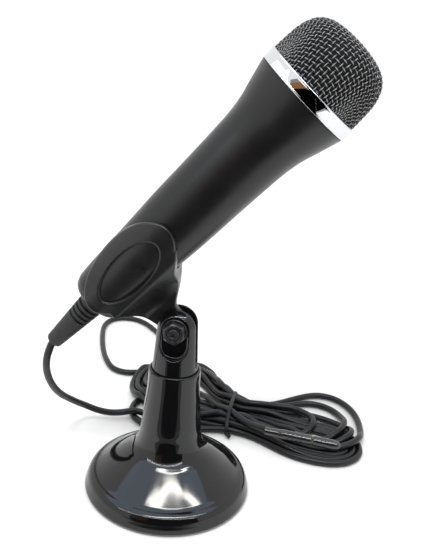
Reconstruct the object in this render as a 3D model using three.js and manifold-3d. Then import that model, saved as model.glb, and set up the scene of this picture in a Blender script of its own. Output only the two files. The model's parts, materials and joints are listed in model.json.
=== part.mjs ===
// Desktop microphone on a round weighted stand, with its cord tied in a loose hank behind it.
//
// Millimetres, +Z up. The origin is the centre of the foot, on the desk. The hinge axis runs along Y,
// and the microphone leans in the XZ plane with its head towards +X.
// The stand's pieces are placed about the Z axis. The clip is drawn in the hinge's own frame, whose X
// runs parallel to the microphone and whose Z runs from the hinge to the microphone's axis. The
// microphone's pieces are turned about the X axis of that frame, lifted to the microphone's axis.

import * as THREE from 'three';
import { mergeVertices } from 'three/addons/utils/BufferGeometryUtils.js';
import Module from 'manifold-3d';

const wasm = await Module();
wasm.setup();

// ---------------------------------------------------------------- driving dimensions
const GAP = 0.3;                  // clearance between pieces that touch
const THROUGH = 30.0;             // half the length of a cut that passes right through a piece
const ROUND = 40;                 // sides of a large turned piece
const SMALL = 16;                 // sides of a small turned piece

const FOOT_R = 43.9;              // stand
const RIM_R = 42.3;
const RIM_H = 7.0;
const DISH_R = 38.4;
const DISH_H = 10.0;
const NECK_FOOT_R = 16.2;
const NECK_FOOT_H = 32.5;
const NECK_TOP_R = 13.3;
const NECK_TOP_H = 69.5;
const NECK_FLOOR = 50.4;          // web across the neck that the fork's screw pulls on
const NECK_FLOOR_T = 4.0;
const PAD_T = 1.0;
const PLATE_T = 2.0;
const PLATE_R = 40.4;
const WEIGHT_T = 3.6;
const WEIGHT_R = 33.0;
const BOSS_PITCH_R = 25.0;        // three screws hold the bottom plate and the weight

const HINGE_H = 93.0;             // fork and hinge
const POST_FOOT_R = 11.85;
const POST_TOP_R = 10.5;
const SPIGOT_DEPTH = 14.0;
const SLOT_HALF = 3.4;
const SLOT_FLOOR = 71.5;
const POCKET_FLOOR = 7.4;         // distance of the pocket floors from the middle plane
const POCKET_HALF_W = 7.0;
const POCKET_DROP = 8.0;          // length of the straight part of the pocket, below the hinge
const BOLT_R = 2.9;               // M6 pivot bolt
const BOLT_HOLE_R = 3.2;
const NUT_FLATS = 10.0;
const NUT_T = 4.0;
const WASHER_T = 0.9;
const WASHER_R = 6.2;
const FRICTION_WASHER_T = 0.5;

const TILT = THREE.MathUtils.degToRad(49.6);   // microphone above the horizontal, as it stands
const AXIS_OFFSET = 37.6;         // from the hinge to the microphone's axis
const TONGUE_HALF = 2.3;          // clip
const TONGUE_R = 7.0;
const CLIP_WALL = 2.5;
const CLIP_GAP = 0.35;
const CLIP_MID = 9.5;             // middle of the wings along the microphone
const WING_HALF_L = 28.5;
const WING_HALF_H = 15.7;
const WING_TURN = THREE.MathUtils.degToRad(2.0);
const MOUTH_HALF = 8.4;           // half the gap between the wings, over the microphone
const RECESS_HALF_L = 20.2;
const RECESS_HALF_H = 9.2;
const RECESS_DEPTH = 0.9;

const TAIL_S = -21.0;             // stations along the microphone, from the hinge's foot point
const HEAD_S = 118.4;
const COLLAR_S = [118.7, 125.0];
const GRILLE_S = 125.3;
const CROWN_S = 151.6;
const BOOT_END_S = -55.0;
const HANDLE_WALL = 2.0;
const CORD_R = 2.0;

// ---------------------------------------------------------------- helpers
function toSolid(geometry) {
  let shape = geometry.clone();
  shape.deleteAttribute('normal');
  shape.deleteAttribute('uv');
  shape = mergeVertices(shape, 1e-4);
  const position = shape.attributes.position;
  const index = Array.from(shape.index.array);
  let volume = 0;
  const [a, b, c] = [new THREE.Vector3(), new THREE.Vector3(), new THREE.Vector3()];
  for (let i = 0; i < index.length; i += 3) {
    a.fromBufferAttribute(position, index[i]);
    b.fromBufferAttribute(position, index[i + 1]);
    c.fromBufferAttribute(position, index[i + 2]);
    volume += a.dot(b.cross(c));
  }
  const triangles = [];
  for (let i = 0; i < index.length; i += 3) {
    const [p, q, r] = index.slice(i, i + 3);
    if (p !== q && q !== r && p !== r) triangles.push(...(volume > 0 ? [p, q, r] : [p, r, q]));
  }
  return new wasm.Manifold(new wasm.Mesh({
    numProp: 3,
    vertProperties: new Float32Array(position.array),
    triVerts: new Uint32Array(triangles),
  }));
}

function toGeometry(solid) {
  const mesh = solid.getMesh();
  const geometry = new THREE.BufferGeometry();
  geometry.setAttribute('position', new THREE.BufferAttribute(mesh.vertProperties, 3));
  geometry.setIndex(new THREE.BufferAttribute(mesh.triVerts, 1));
  geometry.computeVertexNormals();
  return geometry;
}

// A closed profile of [radius, height] points turned about Z.
function turned(profile, sides = ROUND) {
  const points = profile.map(([r, h]) => new THREE.Vector2(Math.max(r, 0), h));
  const first = points[0];
  const last = points[points.length - 1];
  const closesOnAxis = first.x === 0 && last.x === 0;
  if (!closesOnAxis) points.push(first.clone());
  return toSolid(new THREE.LatheGeometry(points, sides).rotateX(Math.PI / 2));
}

// A closed profile of [station, radius] points turned about X.
function turnedX(profile, sides = ROUND) {
  const points = profile.map(([s, r]) => new THREE.Vector2(Math.max(r, 0), s));
  const closesOnAxis = points[0].x === 0 && points[points.length - 1].x === 0;
  if (!closesOnAxis) points.push(points[0].clone());
  return toSolid(new THREE.LatheGeometry(points, sides).rotateZ(-Math.PI / 2));
}

// A ring or tube about Z between two heights.
function ring(inner, outer, low, high, sides = SMALL) {
  return turned([[inner, low], [outer, low], [outer, high], [inner, high]], sides);
}

function rod(radius, low, high, sides = SMALL) {
  return turned([[0, low], [radius, low], [radius, high], [0, high]], sides);
}

function extruded(shape, depth, curveSegments = 12) {
  return new THREE.ExtrudeGeometry(shape, { depth, bevelEnabled: false, curveSegments });
}

// A shape drawn in the XZ plane and given a thickness along Y.
function plateY(shape, low, high, curveSegments = 16) {
  const geometry = extruded(shape, high - low, curveSegments);
  geometry.rotateX(Math.PI / 2);        // the depth now runs towards -Y
  geometry.translate(0, high, 0);
  return toSolid(geometry);
}

// A shape drawn in the YZ plane and given a length along X.
function barX(shape, low, high, curveSegments = 16) {
  const geometry = extruded(shape, high - low, curveSegments);
  const frame = new THREE.Matrix4().makeBasis(
    new THREE.Vector3(0, 1, 0), new THREE.Vector3(0, 0, 1), new THREE.Vector3(1, 0, 0));
  geometry.applyMatrix4(frame);
  geometry.translate(low, 0, 0);
  return toSolid(geometry);
}

// Turns a piece made about Z so that it lies about Y, its top towards -Y.
function layAlongY(solid) {
  return solid.rotate([90, 0, 0]);
}

function curvePoints(points, divisions) {
  const corners = points.map(([x, y]) => new THREE.Vector3(x, y, 0));
  const curve = new THREE.CatmullRomCurve3(corners, false, 'centripetal');
  return curve.getPoints(divisions).map((p) => [p.x, p.y]);
}

function stadium(halfWidth, low, high) {
  const shape = new THREE.Shape();
  shape.absarc(0, high, halfWidth, 0, Math.PI, false);
  shape.absarc(0, low, halfWidth, Math.PI, 2 * Math.PI, false);
  shape.closePath();
  return shape;
}

function ellipse(x, y, halfX, halfY, turn) {
  const shape = new THREE.Shape();
  shape.absellipse(x, y, halfX, halfY, 0, 2 * Math.PI, false, turn);
  return shape;
}

function hexagon(flats) {
  const shape = new THREE.Shape();
  for (let corner = 0; corner < 6; corner += 1) {
    const angle = (corner + 0.5) * Math.PI / 3;
    const reach = flats / 2 / Math.cos(Math.PI / 6);
    const [x, y] = [reach * Math.cos(angle), reach * Math.sin(angle)];
    if (corner === 0) shape.moveTo(x, y);
    else shape.lineTo(x, y);
  }
  shape.closePath();
  return shape;
}

// ---------------------------------------------------------------- materials
function finish(colour, roughness, metalness = 0) {
  return new THREE.MeshStandardMaterial({ color: colour, roughness, metalness });
}

const glossBlack = finish(0x141416, 0.12);
const satinBlack = finish(0x1d1d1f, 0.45);
const clipBlack = finish(0x202022, 0.4);
const chrome = finish(0xe4e6ea, 0.06, 1);
const meshBlack = finish(0x2a2b2d, 0.4, 0.6);
const steel = finish(0x9a9c9e, 0.35, 1);
const blackSteel = finish(0x2b2b2d, 0.4, 0.8);
const rubber = finish(0x151515, 0.7);
const foam = finish(0x101010, 0.95);
const nylon = finish(0xd8d6cc, 0.6);
const gold = finish(0xc9a24c, 0.25, 1);
const green = finish(0x1f5a35, 0.5);
const redWire = finish(0xa31a18, 0.5);
const cordBlack = finish(0x1a1a1b, 0.4);

const model = new THREE.Group();
const hinge = new THREE.Group();
hinge.position.set(0, 0, HINGE_H);
hinge.rotation.y = -TILT;
const microphone = new THREE.Group();
microphone.position.set(0, 0, AXIS_OFFSET);
hinge.add(microphone);
model.add(hinge);

function addPiece(group, name, solid, material) {
  const mesh = new THREE.Mesh(toGeometry(solid), material);
  mesh.name = name;
  group.add(mesh);
}

// ---------------------------------------------------------------- stand
const PLATE_LOW = PAD_T + GAP;
const WEIGHT_LOW = PLATE_LOW + PLATE_T + GAP;
const BOSS_LOW = WEIGHT_LOW + WEIGHT_T + GAP;
const SCREW_R = 1.5;
const SCREW_HEAD_R = 2.8;
const SCREW_HEAD_T = 1.2;
const BOSS_R = 3.6;

function bossCentres() {
  return [0, 1, 2].map((i) => {
    const angle = Math.PI / 2 + i * 2 * Math.PI / 3;
    return [BOSS_PITCH_R * Math.cos(angle), BOSS_PITCH_R * Math.sin(angle)];
  });
}

function makeBaseShell() {
  const shoulder = curvePoints([[RIM_R, RIM_H], [41.4, 9.3], [DISH_R, DISH_H]], 4);
  const fillet = curvePoints([[22.2, 22.2], [17.9, 26.4], [NECK_FOOT_R, NECK_FOOT_H]], 4);
  const neck = curvePoints([
    [NECK_FOOT_R, NECK_FOOT_H], [14.9, 45.5], [13.6, 58.5], [NECK_TOP_R, NECK_TOP_H],
  ], 5);
  const bore = POST_FOOT_R + GAP;
  const floorTop = NECK_FLOOR + NECK_FLOOR_T;
  const profile = [
    [FOOT_R - 2.6, PLATE_LOW - GAP], [FOOT_R, PLATE_LOW - GAP],
    ...shoulder, ...fillet, ...neck.slice(1),
    [bore, NECK_TOP_H], [bore, floorTop], [2.4, floorTop], [2.4, NECK_FLOOR], [11.6, NECK_FLOOR],
    [13.2, NECK_FOOT_H + 4], [14.2, 27.5], [20.0, 20.2], [37.0, 7.8], [FOOT_R - 2.9, 5.4],
  ];
  let shell = turned(profile);
  for (const [x, y] of bossCentres()) {
    const boss = rod(BOSS_R, BOSS_LOW, 17.0, 12).translate([x, y, 0]);
    const drill = rod(SCREW_R + GAP, BOSS_LOW - 2, 15.2, 12).translate([x, y, 0]);
    shell = shell.add(boss).subtract(drill);
  }
  return shell;
}

function makeBasePlate() {
  let plate = rod(PLATE_R, PLATE_LOW, PLATE_LOW + PLATE_T, ROUND);
  for (const [x, y] of bossCentres()) {
    plate = plate.subtract(rod(SCREW_R + GAP, 0, 9).translate([x, y, 0]));
    plate = plate.subtract(rod(SCREW_HEAD_R + GAP, 0, PLATE_LOW + SCREW_HEAD_T + GAP).translate([x, y, 0]));
  }
  return plate;
}

function makeBaseWeight() {
  let weight = ring(7.0, WEIGHT_R, WEIGHT_LOW, WEIGHT_LOW + WEIGHT_T, ROUND);
  for (const [x, y] of bossCentres()) {
    weight = weight.subtract(rod(SCREW_R + GAP, 0, 12).translate([x, y, 0]));
  }
  return weight;
}

function makeBaseScrew([x, y]) {
  const low = PLATE_LOW + 0.1;
  const screw = turned([
    [0, low], [SCREW_HEAD_R, low], [SCREW_HEAD_R, low + SCREW_HEAD_T - 0.2],
    [SCREW_R, low + SCREW_HEAD_T - 0.2], [SCREW_R, 14.4], [0, 14.8],
  ], SMALL);
  const slot = new THREE.BoxGeometry(0.8, 3.6, 1.2);
  const cross = toSolid(slot).add(toSolid(slot).rotate([0, 0, 90]));
  return screw.subtract(cross.translate([0, 0, low])).translate([x, y, 0]);
}

addPiece(model, 'base_shell', makeBaseShell(), glossBlack);
addPiece(model, 'base_weight', makeBaseWeight(), steel);
addPiece(model, 'base_plate', makeBasePlate(), satinBlack);
addPiece(model, 'base_pad', rod(PLATE_R + 1.2, 0, PAD_T, ROUND), rubber);
bossCentres().forEach((centre, i) => addPiece(model, `base_screw_${i + 1}`, makeBaseScrew(centre), steel));

// ---------------------------------------------------------------- fork
const SPIGOT_LOW = NECK_TOP_H - SPIGOT_DEPTH;
const YOKE_SCREW_R = 2.0;

function makeYoke() {
  const dome = [];
  const steps = 8;
  for (let i = 0; i <= steps; i += 1) {
    const angle = i * Math.PI / 2 / steps;
    dome.push([i === steps ? 0 : POST_TOP_R * Math.cos(angle), HINGE_H + POST_TOP_R * Math.sin(angle)]);
  }
  let post = turned([[0, SPIGOT_LOW], [POST_FOOT_R, SPIGOT_LOW], [POST_FOOT_R, NECK_TOP_H], ...dome]);
  const slot = new THREE.BoxGeometry(2 * THROUGH, 2 * SLOT_HALF, 2 * THROUGH);
  post = post.subtract(toSolid(slot.translate(0, 0, SLOT_FLOOR + THROUGH)));
  const pocket = stadium(POCKET_HALF_W, HINGE_H - POCKET_DROP, HINGE_H);
  post = post.subtract(plateY(pocket, -THROUGH, -POCKET_FLOOR));
  post = post.subtract(plateY(pocket, POCKET_FLOOR, THROUGH));
  post = post.subtract(layAlongY(rod(BOLT_HOLE_R, -THROUGH, THROUGH)).translate([0, 0, HINGE_H]));
  return post.subtract(rod(YOKE_SCREW_R + GAP, SPIGOT_LOW - 1, SPIGOT_LOW + 12));
}

function makeYokeScrew() {
  const seat = NECK_FLOOR - GAP - WASHER_T - GAP;
  return turned([
    [0, seat - 2.8], [3.4, seat - 2.8], [3.4, seat],
    [YOKE_SCREW_R, seat], [YOKE_SCREW_R, SPIGOT_LOW + 10.5], [0, SPIGOT_LOW + 11],
  ], SMALL);
}

addPiece(model, 'yoke', makeYoke(), glossBlack);
addPiece(model, 'yoke_screw', makeYokeScrew(), steel);
addPiece(model, 'yoke_washer',
  ring(YOKE_SCREW_R + GAP, 5.0, NECK_FLOOR - GAP - WASHER_T, NECK_FLOOR - GAP), steel);

// ---------------------------------------------------------------- pivot hardware, along Y
const NUT_SEAT = POCKET_FLOOR + GAP + WASHER_T + GAP;

function makePivotBolt() {
  const headSeat = -NUT_SEAT;                       // the head fills the rear pocket
  const shank = turned([
    [0, headSeat - 0.5], [BOLT_R, headSeat - 0.5], [BOLT_R, NUT_SEAT + NUT_T - 0.1],
    [BOLT_R - 0.5, NUT_SEAT + NUT_T + 0.5], [0, NUT_SEAT + NUT_T + 0.5],
  ], SMALL);
  const head = extruded(hexagon(NUT_FLATS), NUT_T);
  return layAlongY(shank.add(toSolid(head).translate([0, 0, headSeat - NUT_T])));
}

function makePivotNut() {
  const body = extruded(hexagon(NUT_FLATS), NUT_T);
  const nut = toSolid(body).subtract(rod(BOLT_HOLE_R, -1, NUT_T + 1));
  return layAlongY(nut.translate([0, 0, NUT_SEAT]));
}

function makeWasher(low, thickness, outer) {
  return layAlongY(ring(BOLT_HOLE_R, outer, low, low + thickness));
}

function addHardware(name, solid, material) {
  addPiece(model, name, solid.translate([0, 0, HINGE_H]), material);
}

addHardware('pivot_bolt', makePivotBolt(), blackSteel);
addHardware('pivot_nut', makePivotNut(), blackSteel);
addHardware('pivot_washer_front', makeWasher(POCKET_FLOOR + GAP, WASHER_T, WASHER_R), blackSteel);
addHardware('pivot_washer_rear', makeWasher(-POCKET_FLOOR - GAP - WASHER_T, WASHER_T, WASHER_R), blackSteel);
addHardware('friction_washer_front',
  makeWasher(TONGUE_HALF + GAP, FRICTION_WASHER_T, TONGUE_R - 0.4), nylon);
addHardware('friction_washer_rear',
  makeWasher(-TONGUE_HALF - GAP - FRICTION_WASHER_T, FRICTION_WASHER_T, TONGUE_R - 0.4), nylon);

// ---------------------------------------------------------------- handle profile, shared with the clip
const HANDLE_SIDE = [
  [-16.4, 14.3], [-8, 14.9], [15, 15.8], [40, 17.0], [60, 17.5], [80, 18.1],
  [91, 18.7], [100, 20.0], [107, 21.9], [HEAD_S, 24.9],
];

function handleRadius(s) {
  for (let i = 1; i < HANDLE_SIDE.length; i += 1) {
    const [s0, r0] = HANDLE_SIDE[i - 1];
    const [s1, r1] = HANDLE_SIDE[i];
    if (s <= s1) return r0 + (r1 - r0) * (s - s0) / (s1 - s0);
  }
  return HANDLE_SIDE[HANDLE_SIDE.length - 1][1];
}

// ---------------------------------------------------------------- clip, in the hinge's frame
function coneAboutMic(extra) {
  const stations = [-22, -8, 15, 42];
  const side = stations.map((s) => [s, handleRadius(s) + extra]);
  return turnedX([[stations[0], 0], ...side, [stations[3], 0]], 48).translate([0, 0, AXIS_OFFSET]);
}

function stemOutline() {
  const shape = new THREE.Shape();
  shape.moveTo(TONGUE_R, 0);
  shape.lineTo(TONGUE_R, 7.6);
  shape.bezierCurveTo(8.6, 10.6, 17.0, 13.4, 20.6, 19.0);
  shape.bezierCurveTo(23.0, 22.6, 28.0, 23.4, 33.4, 29.0);
  shape.lineTo(-14.0, 30.0);
  shape.lineTo(-14.8, 25.4);
  shape.bezierCurveTo(-9.6, 21.6, -9.4, 16.0, -7.6, 10.6);
  shape.lineTo(-TONGUE_R, 7.6);
  shape.lineTo(-TONGUE_R, 0);
  shape.absarc(0, 0, TONGUE_R, Math.PI, 2 * Math.PI, false);
  return shape;
}

function stemSection() {
  const shape = new THREE.Shape();
  const tongueTop = TONGUE_R + 4.4;
  shape.moveTo(-TONGUE_HALF, -TONGUE_R - 1);
  shape.lineTo(TONGUE_HALF, -TONGUE_R - 1);
  shape.lineTo(TONGUE_HALF, tongueTop);
  shape.bezierCurveTo(3.2, 18.6, 8.6, 21.0, 13.6, 25.6);
  shape.lineTo(0, 31.0);
  shape.lineTo(-13.6, 25.6);
  shape.bezierCurveTo(-8.6, 21.0, -3.2, 18.6, -TONGUE_HALF, tongueTop);
  shape.closePath();
  return shape;
}

function makeHolder() {
  const outer = coneAboutMic(CLIP_GAP + CLIP_WALL);
  const bore = coneAboutMic(CLIP_GAP);
  const floor = coneAboutMic(CLIP_GAP + CLIP_WALL - RECESS_DEPTH);
  const wing = ellipse(CLIP_MID, AXIS_OFFSET, WING_HALF_L, WING_HALF_H, WING_TURN);
  const outline = plateY(wing, -THROUGH, THROUGH, 40)
    .add(plateY(stemOutline(), -THROUGH, THROUGH, 10));
  const mouthBox = new THREE.BoxGeometry(3 * WING_HALF_L, 2 * MOUTH_HALF, 2 * WING_HALF_H);
  const mouth = toSolid(mouthBox.translate(CLIP_MID, 0, AXIS_OFFSET + WING_HALF_H));
  const dent = ellipse(
    CLIP_MID - 0.8, AXIS_OFFSET - 1.2, RECESS_HALF_L, RECESS_HALF_H, WING_TURN);
  const recess = plateY(dent, -THROUGH, THROUGH, 28);
  return outer.add(barX(stemSection(), -24, 42, 8))
    .intersect(outline)
    .subtract(bore)
    .subtract(mouth)
    .subtract(recess.subtract(floor))
    .subtract(layAlongY(rod(BOLT_HOLE_R, -THROUGH, THROUGH)));
}

addPiece(hinge, 'holder', makeHolder(), clipBlack);

// ---------------------------------------------------------------- microphone, about its own X axis
const BOOT_ROOT_R = 7.1;
const BOOT_TIP_R = 4.3;
const HOLE_R = BOOT_ROOT_R + GAP;

function makeHandle() {
  const tailRound = curvePoints([[TAIL_S, 10.2], [-20.2, 12.6], [-16.4, 14.3]], 6);
  const inside = HANDLE_SIDE.slice(1).map(([s, r]) => [s, r - HANDLE_WALL]).reverse();
  return turnedX([
    [TAIL_S, HOLE_R], ...tailRound, ...HANDLE_SIDE.slice(1),
    ...inside, [-15.4, 12.0], [TAIL_S + HANDLE_WALL, 10.0], [TAIL_S + HANDLE_WALL, HOLE_R],
  ]);
}

function makeStrainRelief() {
  const radiusAt = (s) => BOOT_ROOT_R + (BOOT_TIP_R - BOOT_ROOT_R) * (TAIL_S - s) / (TAIL_S - BOOT_END_S);
  const flange = TAIL_S + HANDLE_WALL + GAP;
  const ribs = [];
  const pitch = 2.9;
  for (let i = 0; i < 5; i += 1) {
    const s = TAIL_S - 1.0 - i * pitch;
    ribs.push([s, radiusAt(s)], [s - 0.3, radiusAt(s) - 1.1], [s - 1.2, radiusAt(s) - 1.1],
      [s - 1.5, radiusAt(s - 1.5)]);
  }
  return turnedX([
    [flange + 5.5, 0], [flange + 5.5, 3.4], [flange + 2, 3.4], [flange + 2, 9.2], [flange, 9.2],
    [flange, BOOT_ROOT_R], ...ribs,
    [BOOT_END_S + 0.8, BOOT_TIP_R], [BOOT_END_S, BOOT_TIP_R - 0.8],
    [BOOT_END_S, CORD_R + GAP], [BOOT_END_S + 6, CORD_R + GAP], [BOOT_END_S + 6, 0],
  ], SMALL + 4);
}

function makeCollar() {
  const [low, high] = COLLAR_S;
  return turnedX([
    [low, 21.6], [low, 24.9], [low + 0.4, 25.2], [low + 1.0, 25.05], [high - 1.0, 25.2],
    [high - 0.4, 25.5], [high, 25.2], [high, 21.6],
  ]);
}

// The wire basket's outer shape, as [station, radius].
function grilleSide(inset, divisions = 10) {
  const side = curvePoints([
    [GRILLE_S, 24.8], [132, 24.4], [138, 23.7], [142, 22.5], [145.5, 20.6],
    [148, 18], [149.8, 14.5], [150.9, 10], [151.5, 5], [CROWN_S, 0],
  ], divisions);
  const reach = CROWN_S - GRILLE_S;
  const last = side.length - 1;
  return side.map(([s, r], i) => [
    GRILLE_S + (s - GRILLE_S) * (reach - inset) / reach,
    i === last ? 0 : Math.max(r * (24.8 - inset) / 24.8, 0),
  ]);
}

function makeGrille() {
  return turnedX([...grilleSide(0), ...grilleSide(1.1).reverse()]);
}

function makeWindscreen() {
  const lift = ([s, r]) => [s + 2.2 * (CROWN_S - s) / (CROWN_S - GRILLE_S), r];
  const outside = grilleSide(1.9, 7).map(lift);
  const inside = grilleSide(6.5, 7).map(lift);
  return turnedX([...outside, ...inside.reverse()], SMALL);
}

// Threaded ring that holds the basket to the collar and the handle.
function makeGrilleSeat() {
  return turnedX([
    [110.5, 18.6], [110.5, 19.9], [116, 20.9], [126.6, 20.9], [126.6, 19.2], [112, 19.2],
  ], 32);
}

const CARRIER_S = 106.0;

function makeCapsuleCarrier() {
  return turnedX([
    [CARRIER_S, 7.6], [CARRIER_S, 18.6], [CARRIER_S + 2, 18.6], [CARRIER_S + 2, 9.2],
    [CARRIER_S + 17, 9.2], [CARRIER_S + 17, 7.6],
  ], SMALL);
}

const CAPSULE_S = 114.4;
const CAPSULE_L = 6.5;
const CAPSULE_R = 4.85;

function makeCapsuleGrommet() {
  return turnedX([
    [CARRIER_S + 3, 5.2], [CARRIER_S + 3, 7.3], [CARRIER_S + 16.4, 7.3], [CARRIER_S + 16.4, 5.2],
  ], SMALL);
}

function discX(radius, low, high, sides = SMALL) {
  return turnedX([[low, 0], [low, radius], [high, radius], [high, 0]], sides);
}

function makeLead(side) {
  const path = new THREE.CatmullRomCurve3([
    new THREE.Vector3(-12.4, 3.6 * side, 0.4), new THREE.Vector3(4, 4.0 * side, 2.6),
    new THREE.Vector3(28, 5.6 * side, -3.0), new THREE.Vector3(58, 5.0 * side, 3.4),
    new THREE.Vector3(86, 3.4 * side, -2.2), new THREE.Vector3(104, 2.2 * side, 0.2),
    new THREE.Vector3(CAPSULE_S - 1.9, 1.8 * side, 0),
  ]);
  const section = new THREE.Shape();
  section.absarc(0, 0, 0.55, 0, 2 * Math.PI, false);
  return toSolid(new THREE.ExtrudeGeometry(section, { steps: 18, extrudePath: path, curveSegments: 2 }));
}

addPiece(microphone, 'handle', makeHandle(), satinBlack);
addPiece(microphone, 'strain_relief', makeStrainRelief(), rubber);
addPiece(microphone, 'chrome_collar', makeCollar(), chrome);
addPiece(microphone, 'grille', makeGrille(), meshBlack);
addPiece(microphone, 'windscreen', makeWindscreen(), foam);
addPiece(microphone, 'grille_seat', makeGrilleSeat(), satinBlack);
addPiece(microphone, 'capsule_carrier', makeCapsuleCarrier(), satinBlack);
addPiece(microphone, 'capsule_grommet', makeCapsuleGrommet(), rubber);
addPiece(microphone, 'capsule', discX(CAPSULE_R, CAPSULE_S, CAPSULE_S + CAPSULE_L), steel);
addPiece(microphone, 'capsule_felt',
  discX(CAPSULE_R - 0.6, CAPSULE_S + CAPSULE_L + GAP, CAPSULE_S + CAPSULE_L + 0.8), foam);
addPiece(microphone, 'capsule_board', discX(CAPSULE_R - 0.4, CAPSULE_S - 1.5, CAPSULE_S - GAP), green);
addPiece(microphone, 'lead_signal', makeLead(1), redWire);
addPiece(microphone, 'lead_ground', makeLead(-1), satinBlack);

// ---------------------------------------------------------------- cord
const TAIL_ROUTE = [
  [-67.3, 0.5, 68.3], [-69.3, 3, 61], [-70.6, 8, 51.8], [-70.6, 15, 41.6], [-69.4, 25, 30.8],
  [-66.5, 38, 19.3], [-61.5, 50, 10], [-54.8, 58, 4.5], [-46.2, 62.3, 2.15], [-36.9, 64.3, 2.1],
  [-29, 65.6, 2.1], [-18, 66.4, 2.1],
];
const ON_DESK = 2.1;                     // height of the cord's middle where it lies on the desk
const LOOP_ROUTE = [
  [-45.4, 118.4], [-51.1, 114.3], [-57, 114.9], [-63.4, 119.5], [-70.8, 129.8], [-77.2, 145.4],
  [-86.3, 171.2], [-90.7, 190.6], [-88.6, 203.2], [-80.9, 210.6], [-71.9, 211.9], [-62.2, 207.9],
  [-46.5, 190.4], [-27, 165], [-14, 148], [-7.5, 138.6],
].map(([x, y]) => [x, y, ON_DESK]);
const HANK_LOW = 1.3;
const HANK_TOP = 11.5;
const HANK_LEFT = [-12, 103, 32];       // centre and radius of the round ends
const HANK_RIGHT = [74, 73, 36];
const TIE_X = 27;
const WAIST = [57, 94];                 // the hank's sides under the tie
const SHELF_TOP = 8.9;                  // one layer lower where the plug lies
const SHELF_X = [46, 97];
const SHELF_FAR = 50.8;
const PLUG_R = 3.0;
const TIE_T = 0.9;
const TIE_HALF_W = 1.4;
const TIE_CLEAR = 1.6;

function makeTube(points, steps) {
  const corners = points.map((p) => new THREE.Vector3(...p));
  const path = new THREE.CatmullRomCurve3(corners, false, 'centripetal');
  const section = new THREE.Shape();
  section.absarc(0, 0, CORD_R, 0, 2 * Math.PI, false);
  return toSolid(new THREE.ExtrudeGeometry(section, { steps, extrudePath: path, curveSegments: 4 }));
}

function bootEnd() {
  const along = new THREE.Vector3(Math.cos(TILT), 0, Math.sin(TILT));
  const across = new THREE.Vector3(-Math.sin(TILT), 0, Math.cos(TILT));
  const end = new THREE.Vector3(0, 0, HINGE_H).addScaledVector(across, AXIS_OFFSET);
  return end.addScaledVector(along, BOOT_END_S - GAP).toArray();
}

// Two round ends joined by a waist, which the tie squeezes.
function makeHank() {
  const shape = new THREE.Shape();
  const [leftX, leftY, leftR] = HANK_LEFT;
  const [rightX, rightY, rightR] = HANK_RIGHT;
  const [leftFrom, leftTo] = [60, 262].map(THREE.MathUtils.degToRad);
  const [rightFrom, rightTo] = [-115, 100].map(THREE.MathUtils.degToRad);
  shape.absarc(leftX, leftY, leftR, leftFrom, leftTo, false);
  shape.quadraticCurveTo(TIE_X - 16, WAIST[0] + 2, TIE_X, WAIST[0]);
  shape.quadraticCurveTo(TIE_X + 16, WAIST[0] - 2,
    rightX + rightR * Math.cos(rightFrom), rightY + rightR * Math.sin(rightFrom));
  shape.absarc(rightX, rightY, rightR, rightFrom, rightTo, false);
  shape.quadraticCurveTo(TIE_X + 16, WAIST[1] - 2, TIE_X, WAIST[1]);
  shape.quadraticCurveTo(TIE_X - 10, WAIST[1] + 3,
    leftX + leftR * Math.cos(leftFrom), leftY + leftR * Math.sin(leftFrom));
  const hank = toSolid(extruded(shape, HANK_TOP - HANK_LOW, 16).translate(0, 0, HANK_LOW));
  const room = new THREE.Shape([
    [rightY - rightR - 1, SHELF_TOP], [SHELF_FAR, SHELF_TOP],
    [SHELF_FAR, HANK_TOP + 1], [rightY - rightR - 1, HANK_TOP + 1],
  ].map(([y, z]) => new THREE.Vector2(y, z)));
  return hank.subtract(barX(room, ...SHELF_X));
}

// A flat band that runs right round the waist.
function makeTie() {
  const [near, far] = [WAIST[0] - TIE_CLEAR, WAIST[1] + TIE_CLEAR];
  const [low, high] = [HANK_LOW - GAP, HANK_TOP + GAP];
  const rectangle = (grow) => [
    [near - grow, low - grow], [far + grow, low - grow],
    [far + grow, high + grow], [near - grow, high + grow],
  ].map(([y, z]) => new THREE.Vector2(y, z));
  const outline = new THREE.Shape(rectangle(TIE_T));
  outline.holes.push(new THREE.Path(rectangle(0)));
  return barX(outline, TIE_X - TIE_HALF_W, TIE_X + TIE_HALF_W);
}

addPiece(model, 'cord_tail', makeTube([bootEnd(), ...TAIL_ROUTE], 26), cordBlack);
addPiece(model, 'cord_loop', makeTube(LOOP_ROUTE, 34), cordBlack);
addPiece(model, 'cord_hank', makeHank(), cordBlack);
addPiece(model, 'cord_tie', makeTie(), rubber);

// ---------------------------------------------------------------- plug, 3.5 mm, lying on the hank
const plug = new THREE.Group();
plug.position.set(58.4, 46.2, SHELF_TOP + GAP + PLUG_R);
plug.rotation.z = THREE.MathUtils.degToRad(-7);
model.add(plug);

const PIN_R = 1.75;
const PLUG_BODY_S = [0, 19];
const CONTACTS = [
  ['plug_sleeve', 19.3, 26.0, gold],
  ['plug_insulator', 26.3, 27.1, satinBlack],
  ['plug_tip', 27.4, 33.2, gold],
];

function makePlugBody() {
  const [low, high] = PLUG_BODY_S;
  return turnedX([
    [low - 9, 0], [low - 9, 2.2], [low, 2.7], [low + 1, PLUG_R], [high - 1, PLUG_R], [high, 2.7], [high, 0],
  ], SMALL);
}

function makePlugCap() {
  return turnedX([
    [20.0, PIN_R + GAP], [20.0, 2.9], [33.0, 2.9], [35.2, 1.9], [35.8, 0], [34.6, 0], [34.0, PIN_R + GAP],
  ], SMALL);
}

function makeTip(low, high) {
  return turnedX([
    [low, 0], [low, PIN_R], [low + 2.6, PIN_R], [low + 3.4, 1.2], [low + 4.4, 1.5], [high, 0.5], [high, 0],
  ], SMALL);
}

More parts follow.
